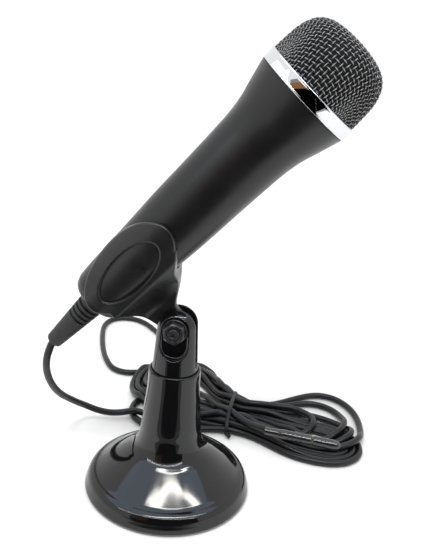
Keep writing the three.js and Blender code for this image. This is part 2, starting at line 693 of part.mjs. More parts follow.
addPiece(plug, 'plug_body', makePlugBody(), rubber);
for (const [name, low, high, material] of CONTACTS) {
  addPiece(plug, name, name === 'plug_tip' ? makeTip(low, high) : discX(PIN_R, low, high), material);
}
addPiece(plug, 'plug_cap', makePlugCap(), satinBlack);

export default model;
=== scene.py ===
"""Looks of the desktop microphone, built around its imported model.

Everything sits in the row frame: metres, +Z up, the origin under the middle of the foot. Sizes are
written in millimetres and turned into metres where a mesh is made; only the studio's are in metres.
Pieces on the microphone are drawn about its own axis, as (station along it, sideways, across), and
placed by to_microphone().
"""

import json
import math

import bpy
import numpy as np
from mathutils import Matrix, Vector


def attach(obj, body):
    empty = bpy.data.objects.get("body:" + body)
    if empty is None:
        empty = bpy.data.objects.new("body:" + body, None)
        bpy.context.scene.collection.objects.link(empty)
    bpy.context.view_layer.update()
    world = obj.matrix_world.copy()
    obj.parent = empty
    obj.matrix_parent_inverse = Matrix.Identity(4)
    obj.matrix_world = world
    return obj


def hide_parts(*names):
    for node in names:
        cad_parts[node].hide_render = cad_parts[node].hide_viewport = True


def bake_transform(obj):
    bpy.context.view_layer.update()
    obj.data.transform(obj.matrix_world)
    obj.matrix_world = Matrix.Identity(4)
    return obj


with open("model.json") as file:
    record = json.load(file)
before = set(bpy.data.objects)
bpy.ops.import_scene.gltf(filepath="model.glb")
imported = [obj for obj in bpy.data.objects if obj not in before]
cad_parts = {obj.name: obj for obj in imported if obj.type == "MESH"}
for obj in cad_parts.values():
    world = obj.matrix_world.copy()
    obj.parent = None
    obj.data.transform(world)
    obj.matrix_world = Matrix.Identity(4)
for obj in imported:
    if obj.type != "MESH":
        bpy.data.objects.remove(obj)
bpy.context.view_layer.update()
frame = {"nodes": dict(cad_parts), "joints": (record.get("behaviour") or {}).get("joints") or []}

MM = 0.001
joints = {joint["name"]: joint for joint in frame["joints"]}
HINGE = np.array(joints["tilt"]["pos_m"]) / MM
ALONG = np.array(joints["clip_slide"]["axis"])
ALONG = ALONG / np.linalg.norm(ALONG)
SIDE = np.array([0.0, 1.0, 0.0])
ACROSS = np.cross(ALONG, SIDE)
AXIS_OFFSET = 37.6  # from the hinge to the microphone's axis
TAIL_S = -21.0  # stations along the microphone
BOOT_END_S = -55.0
COLLAR_S = (118.7, 125.0)
GRILLE_S = 125.3
CROWN_S = 151.6


def to_clip(points):
    """From the clip's frame (along, sideways, across, from the hinge) to the row frame."""
    p = np.asarray(points, float).reshape(-1, 3)
    return HINGE + p[:, :1] * ALONG + p[:, 1:2] * SIDE + p[:, 2:] * ACROSS


def to_microphone(points):
    """From the microphone's own frame to the row frame."""
    return to_clip(np.asarray(points, float).reshape(-1, 3) + [0, 0, AXIS_OFFSET])


# ---- camera
CAMERA_PLACE = (48.6, -312.3, 228.7)
CAMERA_AZIMUTH = -0.109  # radians, from +Y towards +X
CAMERA_PITCH = -0.329
CAMERA_ROLL = 0.085
CAMERA_LENS = 44.87


def add_camera():
    azimuth, pitch, roll = CAMERA_AZIMUTH, CAMERA_PITCH, CAMERA_ROLL
    forward = Vector((math.sin(azimuth) * math.cos(pitch), math.cos(azimuth) * math.cos(pitch),
                      math.sin(pitch)))
    sideways = Vector((math.cos(azimuth), -math.sin(azimuth), 0))
    up = sideways.cross(forward)
    right = math.cos(roll) * sideways + math.sin(roll) * up
    top = -math.sin(roll) * sideways + math.cos(roll) * up
    data = bpy.data.cameras.new("camera")
    data.lens = CAMERA_LENS
    data.sensor_fit = "AUTO"
    data.sensor_width = 36
    data.clip_start = 0.01
    data.clip_end = 50
    camera = bpy.data.objects.new("camera", data)
    turn = Matrix((right, top, -forward)).transposed().to_4x4()
    camera.matrix_world = Matrix.Translation(Vector(CAMERA_PLACE) * MM) @ turn
    bpy.context.scene.collection.objects.link(camera)
    bpy.context.scene.camera = camera


add_camera()


# ---- mesh helpers
def smooth_curve(points, step):
    """A centripetal curve through the points, as new points about step apart."""
    p = np.asarray(points, float)
    p = np.vstack([2 * p[0] - p[1], p, 2 * p[-1] - p[-2]])
    out = []
    for a, b, c, d in zip(p[:-3], p[1:-2], p[2:-1], p[3:]):
        knots = [0.0]
        for start, end in ((a, b), (b, c), (c, d)):
            knots.append(knots[-1] + max(np.linalg.norm(end - start), 1e-6) ** 0.5)
        t0, t1, t2, t3 = knots
        count = max(2, int(np.linalg.norm(c - b) / step * 4))
        for t in np.linspace(t1, t2, count, endpoint=False):
            ab = ((t1 - t) * a + (t - t0) * b) / (t1 - t0)
            bc = ((t2 - t) * b + (t - t1) * c) / (t2 - t1)
            cd = ((t3 - t) * c + (t - t2) * d) / (t3 - t2)
            abc = ((t2 - t) * ab + (t - t0) * bc) / (t2 - t0)
            bcd = ((t3 - t) * bc + (t - t1) * cd) / (t3 - t1)
            out.append(((t2 - t) * abc + (t - t1) * bcd) / (t2 - t1))
    out.append(p[-2])
    return even_steps(np.array(out), step)


def even_steps(points, step):
    length = np.concatenate([[0], np.cumsum(np.linalg.norm(np.diff(points, axis=0), axis=1))])
    at = np.linspace(0, length[-1], max(2, int(round(length[-1] / step)) + 1))
    return np.stack([np.interp(at, length, points[:, k]) for k in range(points.shape[1])], 1)


def lathe(profile, sides):
    """Vertices and faces of a profile of (along, radius) turned about the X axis.

    A profile that starts and ends on the axis is capped there, and any other one closes on itself.
    """
    profile = [tuple(map(float, p)) for p in profile]
    poles = profile[0][1] < 1e-9 and profile[-1][1] < 1e-9
    points, rows = [], []
    for along, radius in profile:
        if radius < 1e-9:
            rows.append([len(points)] * sides)
            points.append((along, 0, 0))
        else:
            rows.append(list(range(len(points), len(points) + sides)))
            for k in range(sides):
                angle = 2 * math.pi * k / sides
                points.append((along, radius * math.cos(angle), radius * math.sin(angle)))
    pairs = list(zip(rows, rows[1:]))
    if not poles:
        pairs.append((rows[-1], rows[0]))
    faces = []
    for low, high in pairs:
        for k in range(sides):
            n = (k + 1) % sides
            corners = [low[k], low[n], high[n], high[k]]
            corners = [c for i, c in enumerate(corners) if c not in corners[:i]]
            if len(corners) > 2:
                faces.append(corners)
    points = np.array(points)
    ends = profile[1:] + profile[:1]
    turned = sum((r0 + r1) * (a1 - a0) for (a0, r0), (a1, r1) in zip(profile, ends))
    if turned > 0:  # the profile runs the other way round
        faces = [f[::-1] for f in faces]
    return points, faces


def tube(path, radius, sides):
    """A capped tube along a path."""
    path = np.asarray(path, float)
    along = np.gradient(path, axis=0)
    along /= np.linalg.norm(along, axis=1)[:, None]
    first = np.cross(along[0], [0.3, 0.2, 1.0])
    normal = first / np.linalg.norm(first)
    points = []
    for place, direction in zip(path, along):
        normal = normal - direction * (normal @ direction)
        normal /= np.linalg.norm(normal)
        other = np.cross(direction, normal)
        for k in range(sides):
            angle = 2 * math.pi * k / sides
            points.append(place + radius * (math.cos(angle) * normal + math.sin(angle) * other))
    faces = []
    for i in range(len(path) - 1):
        for k in range(sides):
            n = (k + 1) % sides
            a, b = i * sides, (i + 1) * sides
            faces.append([a + k, a + n, b + n, b + k])
    faces.append(list(range(sides))[::-1])
    faces.append([(len(path) - 1) * sides + k for k in range(sides)])
    return np.array(points), faces


def join(parts):
    points, faces, offset = [], [], 0
    for part_points, part_faces in parts:
        points.append(part_points)
        faces += [[v + offset for v in face] for face in part_faces]
        offset += len(part_points)
    return np.vstack(points), faces


def smooth_max(a, b, size):
    """The larger of two distances, with the edge between them rounded."""
    h = np.maximum(size - np.abs(a - b), 0) / size
    return np.maximum(a, b) + h * h * size / 4


def smooth_min(a, b, size):
    return -smooth_max(-a, -b, size)


def field_inside(field, low, n, cell):
    """Which points of a grid are inside a field, sampled finely only near its surface."""
    axes = [a + cell * np.arange(count) for a, count in zip(low, n)]
    coarse = np.stack(np.meshgrid(*[axis[::4] + 1.5 * cell for axis in axes], indexing="ij"), -1)
    value = field(coarse.reshape(-1, 3)).reshape(coarse.shape[:3])
    for axis in range(3):
        value = np.repeat(value, 4, axis=axis)
    near = np.argwhere(np.abs(value) < 5 * cell)
    value[tuple(near.T)] = field(near * cell + np.array(low))
    return value < 0


def stepped_surface(inside, low, cell):
    """The stepped quads between a grid's inside and outside points, and their corners."""
    n = np.array(inside.shape)
    count = np.zeros(n - 1, int)
    for dx in (0, 1):
        for dy in (0, 1):
            for dz in (0, 1):
                count += inside[dx:n[0] - 1 + dx, dy:n[1] - 1 + dy, dz:n[2] - 1 + dz]
    mixed = (count > 0) & (count < 8)
    index = np.full(n - 1, -1)
    index[mixed] = np.arange(mixed.sum())
    points = np.argwhere(mixed) * cell + np.array(low) + cell / 2
    quads = []
    for a in range(3):
        b, c = (a + 1) % 3, (a + 2) % 3
        below = np.take(inside, range(n[a] - 1), axis=a)
        above = np.take(inside, range(1, n[a]), axis=a)
        at = np.argwhere(below != above)
        step_b, step_c = np.eye(3, dtype=int)[b], np.eye(3, dtype=int)[c]
        ring = [at - step_b - step_c, at - step_c, at, at - step_b]
        quad = np.stack([index[tuple(r.T)] for r in ring], 1)
        outward = below[tuple(at.T)]
        quad[~outward] = quad[~outward][:, ::-1]
        quads.append(quad)
    return points, np.vstack(quads)


def pull(field, p, cell, rounds):
    """Moves points onto the surface where the field is zero."""
    for _ in range(rounds):
        value = field(p)
        slope = np.stack([(field(p + e) - field(p - e)) / (2 * cell / 50)
                          for e in np.eye(3) * cell / 50], 1)
        move = value / np.maximum((slope ** 2).sum(1), 0.25)
        p = p - slope * np.clip(move, -cell, cell)[:, None]
    return p


def field_surface(field, low, high, cell, relax=3):
    """The surface where a distance field is zero, as even quads with rounded moulded edges."""
    n = [4 * (int((b - a) / cell / 4) + 1) for a, b in zip(low, high)]
    points, quads = stepped_surface(field_inside(field, low, n, cell), low, cell)
    edges = np.vstack([quads[:, [k, (k + 1) % 4]] for k in range(4)])
    edges = np.unique(np.sort(edges, axis=1), axis=0)
    points = pull(field, points, cell, 5)
    for _ in range(relax):
        total = np.zeros_like(points)
        near = np.zeros(len(points))
        for a, b in ((0, 1), (1, 0)):
            np.add.at(total, edges[:, a], points[edges[:, b]])
            np.add.at(near, edges[:, a], 1)
        points = pull(field, 0.5 * points + 0.5 * total / near[:, None], cell, 2)
    return points, quads.tolist()


def add_piece(name, shape, material, body, replaces, sharp=None, slot=None):
    """A new object from (points in mm in the row frame, faces), riding on a body."""
    points, faces = shape
    mesh = bpy.data.meshes.new(name)
    mesh.from_pydata((np.asarray(points) * MM).tolist(), [], faces)
    mesh.validate()
    mesh.polygons.foreach_set("use_smooth", [True] * len(mesh.polygons))
    if sharp is not None:
        mesh.set_sharp_from_angle(angle=math.radians(sharp))
    mesh.materials.append(material)
    piece = bpy.data.objects.new(name, mesh)
    bpy.context.scene.collection.objects.link(piece)
    if body:
        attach(piece, body)
    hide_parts(*replaces)
    return piece


def add_turned(name, profile, sides, material, node, place=to_microphone, body="microphone", **more):
    """A turned piece, by default one on the microphone's axis, that stands for a CAD node."""
    points, faces = lathe(profile, sides)
    return add_piece(name, (place(points), faces), material, body, (node,), **more)


def dress(node, material):
    """Gives a CAD node that stays its finish."""
    piece = frame["nodes"][node]
    if piece.material_slots:
        for place in piece.material_slots:
            place.material = material
    else:
        piece.data.materials.append(material)


# ---- materials
class Finish:
    """A Principled material, with small helpers for the textures that vary over its surface."""

    def __init__(self, name, colour, roughness, **settings):
        self.material = bpy.data.materials.new(name)
        self.material.use_nodes = True
        self.nodes = self.material.node_tree.nodes
        self.links = self.material.node_tree.links
        self.shader = self.nodes["Principled BSDF"]
        self.shader.inputs["Base Color"].default_value = (*colour, 1)
        self.shader.inputs["Roughness"].default_value = roughness
        for socket, value in settings.items():
            self.shader.inputs[socket.replace("_", " ")].default_value = value
        self.place = self.nodes.new("ShaderNodeTexCoord").outputs["Object"]

    def noise(self, size_mm, detail=3.0, stretch=(1, 1, 1)):
        """A noise whose features are about size_mm across."""
        mapping = self.nodes.new("ShaderNodeMapping")
        mapping.inputs["Scale"].default_value = tuple(1 / (size_mm * MM * s) for s in stretch)
        self.links.new(self.place, mapping.inputs["Vector"])
        texture = self.nodes.new("ShaderNodeTexNoise")
        texture.inputs["Scale"].default_value = 1.0
        texture.inputs["Detail"].default_value = detail
        self.links.new(mapping.outputs["Vector"], texture.inputs["Vector"])
        return texture.outputs["Fac"]

    def attribute(self, name):
        node = self.nodes.new("ShaderNodeAttribute")
        node.attribute_name = name
        return node.outputs["Fac"]

    def spread(self, value, low, high, start=0.3, end=0.7):
        """Maps a texture's start to end onto low to high."""
        node = self.nodes.new("ShaderNodeMapRange")
        node.inputs["From Min"].default_value = start
        node.inputs["From Max"].default_value = end
        node.inputs["To Min"].default_value = low
        node.inputs["To Max"].default_value = high
        self.links.new(value, node.inputs["Value"])
        return node.outputs["Result"]

    def vary_roughness(self, value, low, high, start=0.3, end=0.7):
        self.links.new(self.spread(value, low, high, start, end), self.shader.inputs["Roughness"])

    def vary_colour(self, value, dark, light, start=0.3, end=0.7):
        mix = self.nodes.new("ShaderNodeMix")
        mix.data_type = "RGBA"
        mix.inputs[6].default_value = (*dark, 1)
        mix.inputs[7].default_value = (*light, 1)
        self.links.new(self.spread(value, 0, 1, start, end), mix.inputs[0])
        self.links.new(mix.outputs[2], self.shader.inputs["Base Color"])

    def bump(self, *layers):
        """Adds bumps, each (height texture, depth in mm)."""
        normal = None
        for height, depth_mm in layers:
            node = self.nodes.new("ShaderNodeBump")
            node.inputs["Strength"].default_value = 1.0
            node.inputs["Distance"].default_value = depth_mm * MM
            self.links.new(height, node.inputs["Height"])
            if normal is not None:
                self.links.new(normal, node.inputs["Normal"])
            normal = node.outputs["Normal"]
        self.links.new(normal, self.shader.inputs["Normal"])


def make_finish(name, colour, roughness, tint=None, shine=None, bumps=(), **settings):
    """A finish whose colour, roughness and surface vary with noises, each given by its size in mm
    and detail: tint goes on with (dark, light), shine with (low, high) and the noise's range, and
    each bump with its depth in mm and the noise's stretch."""
    finish = Finish(name, colour, roughness, **settings)
    if tint:
        size, detail, *colours = tint
        finish.vary_colour(finish.noise(size, detail), *colours)
    if shine:
        size, detail, *limits = shine
        finish.vary_roughness(finish.noise(size, detail), *limits)
    if bumps:
        finish.bump(*[(finish.noise(size, detail, *stretch), depth)
                      for size, detail, depth, *stretch in bumps])
    return finish.material


def plain_inner(name, dark, light, roughness, metallic=0.0, grain_mm=1.0, depth_mm=0.02):
    """A finish for a piece that shows only when the object is taken apart."""
    return make_finish(name, light, roughness, (grain_mm * 6, 4, dark, light),
                       (grain_mm * 3, 4, roughness * 0.8, min(1.0, roughness * 1.2)),
                       [(grain_mm, 3, depth_mm)], Metallic=metallic)


def mesh_black():
    finish = Finish("mesh_black", (0.012, 0.012, 0.013), 0.26, IOR=1.6)
    # painted highlight: the colour goes from near black to light grey where each wire rises on its
    # crests
    finish.vary_colour(finish.attribute("crest_highlight"), (0.006, 0.006, 0.0065), (0.27, 0.27, 0.275), 0, 1)
    finish.vary_roughness(finish.noise(0.8, 3), 0.22, 0.42)
    finish.bump((finish.noise(0.18, 3), 0.012))
    return finish.material


GLOSS = make_finish("gloss_black", (0.004, 0.004, 0.0045), 0.06, None, (14, 4, 0.035, 0.11, 0.35, 0.75),
                    [(9, 1, 0.010), (0.35, 2, 0.0006)], IOR=1.5)
SATIN = make_finish("satin_black", (0.006, 0.006, 0.0065), 0.33,
                    (22, 4, (0.005, 0.005, 0.0053), (0.0075, 0.0075, 0.0078)), (9, 5, 0.29, 0.38),
                    [(0.45, 4, 0.012), (11, 2, 0.02)], IOR=1.45)
CLIP = make_finish("clip_black", (0.008, 0.008, 0.0085), 0.3,
                   (16, 4, (0.0065, 0.0065, 0.007), (0.0095, 0.0095, 0.01)), (7, 5, 0.26, 0.36),
                   [(0.5, 4, 0.010), (9, 2, 0.02)], IOR=1.5)
CHROME = make_finish("chrome", (0.74, 0.75, 0.77), 0.03, None, (6, 5, 0.02, 0.07, 0.4, 0.8),
                     [(8, 1, 0.006), (0.3, 2, 0.0005)], Metallic=1.0)
WIRE = mesh_black()
FOAM = make_finish("foam_black", (0.006, 0.006, 0.006), 0.95,
                   (0.7, 4, (0.003, 0.003, 0.003), (0.012, 0.012, 0.012)), None, [(0.6, 4, 0.25)])
BLACK_STEEL = make_finish("black_steel", (0.05, 0.05, 0.052), 0.34,
                          (1.5, 5, (0.025, 0.025, 0.027), (0.11, 0.11, 0.115), 0.35, 0.8),
                          (0.9, 5, 0.24, 0.5), [(0.25, 4, 0.012)], Metallic=0.8)
STEEL = make_finish("plated_steel", (0.6, 0.61, 0.62), 0.3, None, (1.2, 5, 0.22, 0.42),
                    [(0.3, 3, 0.008, (1, 1, 6))], Metallic=1.0)
RUBBER = make_finish("soft_rubber", (0.009, 0.009, 0.0095), 0.45,
                     (6, 4, (0.007, 0.007, 0.0075), (0.012, 0.012, 0.0125)), (3, 5, 0.42, 0.6),
                     [(0.4, 4, 0.02)], IOR=1.5)
CORD = make_finish("cord_black", (0.006, 0.006, 0.0065), 0.34,
                   (12, 4, (0.004, 0.004, 0.0045), (0.009, 0.009, 0.0095)), (5, 5, 0.27, 0.46),
                   [(0.5, 3, 0.014), (3.5, 2, 0.05)], IOR=1.4)
TIE = make_finish("tie_black", (0.005, 0.005, 0.005), 0.42, None, (1, 4, 0.34, 0.55),
                  [(0.3, 3, 0.02)], IOR=1.4)
PLUG = make_finish("plug_black", (0.012, 0.012, 0.0125), 0.12, None, (3, 4, 0.08, 0.2),
                   [(4, 2, 0.02), (0.4, 3, 0.003)], IOR=1.5, Coat_Weight=0.6, Coat_Roughness=0.05)
IRON = plain_inner("cast_iron", (0.09, 0.09, 0.09), (0.2, 0.2, 0.2), 0.6, 0.9, 0.8, 0.06)
NYLON = plain_inner("nylon", (0.6, 0.58, 0.52), (0.76, 0.74, 0.69), 0.45)
GOLD = plain_inner("gold_plate", (0.72, 0.5, 0.18), (0.85, 0.65, 0.3), 0.2, 1.0, 0.5, 0.003)
BOARD = plain_inner("board_green", (0.03, 0.16, 0.07), (0.06, 0.28, 0.12), 0.35)
RED_WIRE = plain_inner("wire_red", (0.38, 0.02, 0.015), (0.55, 0.035, 0.02), 0.4)


# ---- cord
CORD_D = 4.0
CORD_STEP = 1.6
DESK = 2.1  # height of the cord's middle where it lies on the desk
FOLD_R = 12.5  # the bend that the cord's stiffness works towards
TIE_X = 27.0
TIE_NEAR, TIE_FAR = 50, 97  # Y between which the bundle passes under the tie
LAYER = (2.6, 6.4, 10.2)  # heights of the runs that the tie holds
PLUG_PLACE = np.array([58.4, 46.2, 12.0])
PLUG_TURN = math.radians(-7)
PLUG_SPAN = (-9.0, 35.8)  # ends of the plug, from PLUG_PLACE
PLUG_R = 3.0
FOOT_CLEAR = 46.3  # how near the cord's middle comes to the foot's
FOOT_EDGE_TOP = 13
TOUCH_REACH = 7  # strands nearer than this are watched for touching

TAIL_ROUTE = [
    (-67.3, 0.5, 68.3), (-69.3, 3, 61), (-70.6, 8, 51.8), (-70.6, 15, 41.6), (-69.4, 25, 30.8),
    (-66.5, 37.4, 20.3), (-61.5, 48, 11.6), (-54.8, 53.6, 7.4), (-46.2, 56.2, 6.2),
    (-38, 57.8, 6.2), (-29, 60, 5.6), (-17, 62.6, 3.8), (4, 62.8, 2.5),
]
# The loop that lies on the desk behind, from the hank's far side and back to its left end.
LOOP_ROUTE = [
    (-7.5, 140.6), (-14, 149), (-27, 165), (-46.5, 190.4), (-62.2, 207.9), (-71.9, 211.2),
    (-81.5, 210.2), (-88.4, 203.2), (-90.4, 190.6), (-86.3, 171.2), (-78.2, 145.4), (-71.8, 130.8),
    (-64.4, 119.5), (-56.5, 113.9), (-48, 115.4), (-38, 120.4),
]
# Each turn of the hank: (where it passes under the tie, near side), the fold at the right end,
# (where it passes back, far side), and the round fold at the left end as (centre, radius, heights).
TURNS = [
    ((63.3, 0), [(44, 60.5, 2.3), (60, 51.6, 2.1), (75, 45.4, 2.1), (87, 44.2, 2.1),
                 (97, 49.6, 2.1), (100, 59, 2.1), (94.4, 68, 2.1), (80, 72.4, 2.1), (60, 76, 2.1),
                 (44, 81, 2.3)], (83.6, 0),
     ((-16, 70.5), 21.5, (2.1, 2.1))),
    ((58.5, 0), [(42, 56, 2.3), (56.4, 47.6, 2.1), (70.3, 40.4, 2.1), (83.7, 38, 2.1),
                 (96, 39.9, 2.1), (104.8, 47, 2.1), (107.8, 58, 2.1), (103.4, 69, 2.1),
                 (92, 75.6, 2.1), (76, 78.4, 2.1), (60, 81.6, 2.1), (44, 86, 2.3)], (88.6, 0),
     ((-12, 103), 27, (4.4, 6.2))),
    ((61, 1), [(41, 58.4, 6.3), (52, 51.8, 6.3), (62.5, 45.9, 6.3), (72.2, 42.5, 6.3),
               (82, 41.6, 6.3), (92, 42.9, 6.3), (100.4, 48.4, 6.3), (104.4, 57.6, 6.3),
               (101.6, 67.4, 6.3), (92.6, 74, 6.3), (78, 77.4, 6.3), (60, 80, 6.3),
               (44, 81.4, 6.4)],
     (80.8, 1), ((-12, 103), 22.5, (6.4, 6.4))),
    ((66, 1), [(45, 62, 6.4), (62, 56.4, 6.4), (78, 54.2, 6.4), (92, 57, 6.4), (101.4, 64, 6.4),
               (104, 72.5, 6.4), (100, 80.3, 6.4), (90, 86.8, 6.4), (77, 90.6, 6.4),
               (60, 89.6, 6.4), (44, 86.6, 6.4)], (85.8, 1), ((-12, 103), 33, (6.4, 6.4))),
    ((62.9, 2), [(44, 64, 8.4), (57, 62, 7.6), (68, 62.4, 8.8), (76.6, 66.5, 9.4),
                 (79.6, 76, 8.4), (75.6, 86, 8.4), (66, 90, 9.4), (54, 88.6, 10.2),
                 (42, 84.4, 10.3)], (82, 2), ((-12, 103), 24.5, (10.3, 10.3))),
    ((77.6, 2), [(45.9, 78.4, 10.6), (52, 75, 12.6), (57, 70, 13.6), (63, 64.3, 13.2),
                 (70, 59.9, 11.6), (78.9, 58.4, 10.8), (88.5, 61.4, 10.4), (96.2, 69.6, 9.6),
                 (99.2, 81, 8), (97, 95, 5), (89.3, 104.4, 3.6), (78.4, 107, 4),
                 (65.1, 101.4, 6.4), (52.7, 93.4, 8.8), (40, 88, 10.2)], (86.3, 2),
     ((-12, 103), 29, (10.3, 10.3))),
    ((67.2, 2), [(45, 59.8, 10.4), (62, 53.4, 10.3), (78, 49.8, 10.3), (89, 48.8, 10.3),
                 (98.4, 51.6, 10.3), (104.8, 59, 9.8), (108.6, 69.6, 8.6), (109.4, 83, 6.6),
                 (108, 97, 4.6), (102.6, 110, 3), (93.6, 118.6, 2.3), (84.4, 120.8, 2.3),
                 (74.5, 116, 3), (63.5, 106.8, 5.4), (52.5, 97.4, 8.6), (39.3, 92.2, 10.2)],
     (90.6, 2), None),
]
LEAVING = [(17.5, 98, 8.5), (10.5, 110, 5), (4.5, 123, 2.6), (-1.5, 132.6, 2.2)]
COMING_BACK = [(-29, 116, 2.3), (-18, 112, 4.2), (-6, 106, 8), (4, 97, 11.6), (12.4, 83.4, 13.8),
               (20, 72.8, 13.9), (27, 65, 13.7), (34, 59.6, 13.6), (41.6, 54.4, 13.2),
               (47.5, 49.6, 12.5), (51.4, 47.1, 12.0)]
LEFT_FOLD_ANGLES = (72, 105, 140, 175, 210, 243, 268)


def left_fold(fold):
    (x, y), radius, heights = fold
    rise = np.linspace(*heights, len(LEFT_FOLD_ANGLES))
    angles = np.radians(LEFT_FOLD_ANGLES)
    return [(x + radius * math.cos(a), y + radius * math.sin(a), z) for a, z in zip(angles, rise)]


def cord_corners():
    """The cord's route: out of the handle, down, seven tied turns, the far loop and its plug."""
    inside = [(s, 0, 0) for s in (8, 0, -10, TAIL_S, -32, -44, BOOT_END_S - 0.3)]
    corners = [tuple(p) for p in to_microphone(inside)] + TAIL_ROUTE
    for near, right, far, fold in TURNS:
        corners.append((TIE_X, near[0], LAYER[near[1]]))
        corners += right
        corners.append((TIE_X, far[0], LAYER[far[1]]))
        if fold:
            corners += left_fold(fold)
    corners += LEAVING
    corners += [(x, y, DESK) for x, y in LOOP_ROUTE]
    return np.array(corners + COMING_BACK)


def to_plug(points):
    p = np.asarray(points, float).reshape(-1, 3)
    c, s = math.cos(PLUG_TURN), math.sin(PLUG_TURN)
    return PLUG_PLACE + np.stack([c * p[:, 0] - s * p[:, 1], s * p[:, 0] + c * p[:, 1], p[:, 2]], 1)


def keep_apart(p, first, second, least, give, most=None):
    """Moves pairs of points to at least (and at most) a distance, sharing each move between them."""
    between = p[first] - p[second]
    distance = np.maximum(np.linalg.norm(between, axis=1), 1e-6)
    error = np.maximum(least - distance, 0)
    if most is not None:
        error -= np.maximum(distance - most, 0)
    move = between / distance[:, None] * (error / 2)[:, None]
    total = np.zeros_like(p)
    touched = np.ones(len(p))
    active = np.abs(error) > 1e-4
    np.add.at(total, first[active], move[active])
    np.add.at(total, second[active], -move[active])
    np.add.at(touched, first[active], 0.35)
    np.add.at(touched, second[active], 0.35)
    return p + total / touched[:, None] * give[:, None]


def off_the_plug(p, give):
    """Pushes all but the cord's last few points out of the plug."""
    low, high = to_plug([(PLUG_SPAN[0] + 3, 0, 0), (PLUG_SPAN[1], 0, 0)])
    run = high - low
    t = np.clip((p - low) @ run / (run @ run), 0, 1)
    away = p - low - t[:, None] * run
    reach = np.maximum(np.linalg.norm(away, axis=1), 1e-6)
    push = np.maximum(CORD_D / 2 + PLUG_R - reach, 0) * give
    push[-15:] = 0
    return p + away / reach[:, None] * push[:, None]


def off_the_foot(p, give):
    out = np.maximum(np.hypot(p[:, 0], p[:, 1]), 1e-6)
    push = np.where(p[:, 2] < FOOT_EDGE_TOP, np.maximum(FOOT_CLEAR - out, 0), 0) * give / out
    p[:, :2] += p[:, :2] * push[:, None]
    return p


def above_the_desk(p, give):
    """Keeps the cord on the desk, and the bundle on the tie that passes under it."""
    lift = 0.9 * np.exp(-((p[:, 0] - TIE_X) / 7) ** 2) * (p[:, 1] > TIE_NEAR) * (p[:, 1] < TIE_FAR)
    p[:, 2] = np.where(give > 0, np.maximum(p[:, 2], CORD_D / 2 + 0.05 + lift), p[:, 2])
    return p


def stiffness_spans(number):
    """Pairs of points along the cord, with the least and most distance that each pair may have."""
    spans = [(number[:-1], number[1:], CORD_STEP, CORD_STEP)]
    for k in (4, 8):
        chord = 2 * FOLD_R * math.sin(k * CORD_STEP / 2 / FOLD_R)
        spans.append((number[:-k], number[k:], chord, None))
    return spans


def settle(route, rounds=420):
    """Lets the cord down onto the desk and onto itself at its own length and stiffness."""
    p = route.copy()
    give = np.ones(len(p))  # 0 where the route is kept: the hanging tail, and the plug
    give[:int(np.argmax((p[:, 1] > 48) & (p[:, 2] < 14)))] = 0
    give[-3:] = 0
    spans = stiffness_spans(np.arange(len(p)))
    for step in range(rounds):
        late = step > rounds * 0.8
        if step % 8 == 0:
            square = (p ** 2).sum(1)
            gap = square[:, None] + square[None] - 2 * p @ p.T
            first, second = np.nonzero(np.triu(gap < TOUCH_REACH ** 2, 8))
        p[:, 2] -= give * (0.0 if late else 0.04)
        hold = 0.01 if late else 0.04
        p[:, :2] += hold * give[:, None] * (route - p)[:, :2]
        ends = np.vstack([p[:1], p, p[-1:]])
        p += (0.45 * give)[:, None] * ((ends[:-2] + ends[2:]) / 2 - p)
        for one, other, least, most in spans:
            p = keep_apart(p, one, other, least, give, most)
        for _ in range(2):
            p = keep_apart(p, first, second, CORD_D * 1.005, give)
        p = off_the_plug(p, give)
        p = off_the_foot(p, give)
        p = above_the_desk(p, give)
    return p


cord_path = settle(smooth_curve(cord_corners(), CORD_STEP))
cord = add_piece("cord", tube(cord_path, CORD_D / 2, 12), CORD, None,
                 ("cord_tail", "cord_loop", "cord_hank"))
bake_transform(cord)


def tie_outline():
    """The loop of (Y, height) that the tie makes round the bundle."""
    at_tie = np.abs(cord_path[:, 0] - TIE_X) < 1.2
    held = cord_path[at_tie & (cord_path[:, 1] > TIE_NEAR) & (cord_path[:, 1] < TIE_FAR)][:, 1:]
    angles = np.linspace(0, 2 * math.pi, 73)[:-1]
    facing = np.stack([np.cos(angles), np.sin(angles)], 1)
    reach = (held @ facing.T).max(0) + CORD_D / 2 + 0.45
    facing_on = np.roll(facing, -1, axis=0)
    reach_on = np.roll(reach, -1)
    cross = facing[:, 0] * facing_on[:, 1] - facing[:, 1] * facing_on[:, 0]
    corners = np.stack([(reach * facing_on[:, 1] - reach_on * facing[:, 1]) / cross,
                        (reach_on * facing[:, 0] - reach * facing_on[:, 0]) / cross], 1)
    corners[:, 1] = np.maximum(corners[:, 1], 0.5)
    return even_steps(np.vstack([corners, corners[:1]]), 0.7)[:-1]


def tie_band(loop):
    """A thin flat band along the loop, leaning a little with the bundle."""
    lean = TIE_X - 0.4 + (loop[:, 0] - loop[:, 0].mean()) / 26
    wide, thick = 1.1, 0.35
    outward = loop - np.roll(loop, 1, axis=0)
    outward = np.stack([outward[:, 1], -outward[:, 0]], 1)
    outward /= np.maximum(np.linalg.norm(outward, axis=1), 1e-9)[:, None]
    section = [(-wide, 0), (-wide * 0.8, thick), (wide * 0.8, thick),
               (wide, 0), (wide * 0.8, -thick), (-wide * 0.8, -thick)]
    points = []
    for (y, z), x, (oy, oz) in zip(loop, lean, outward):
        for across, out in section:
            points.append((x + across, y + oy * out, z + oz * out))
    faces = []
    for i in range(len(loop)):
        row, next_row = i * len(section), (i + 1) % len(loop) * len(section)
        for k in range(len(section)):
            n = (k + 1) % len(section)
            faces.append([row + k, row + n, next_row + n, next_row + k])
    return np.array(points), faces


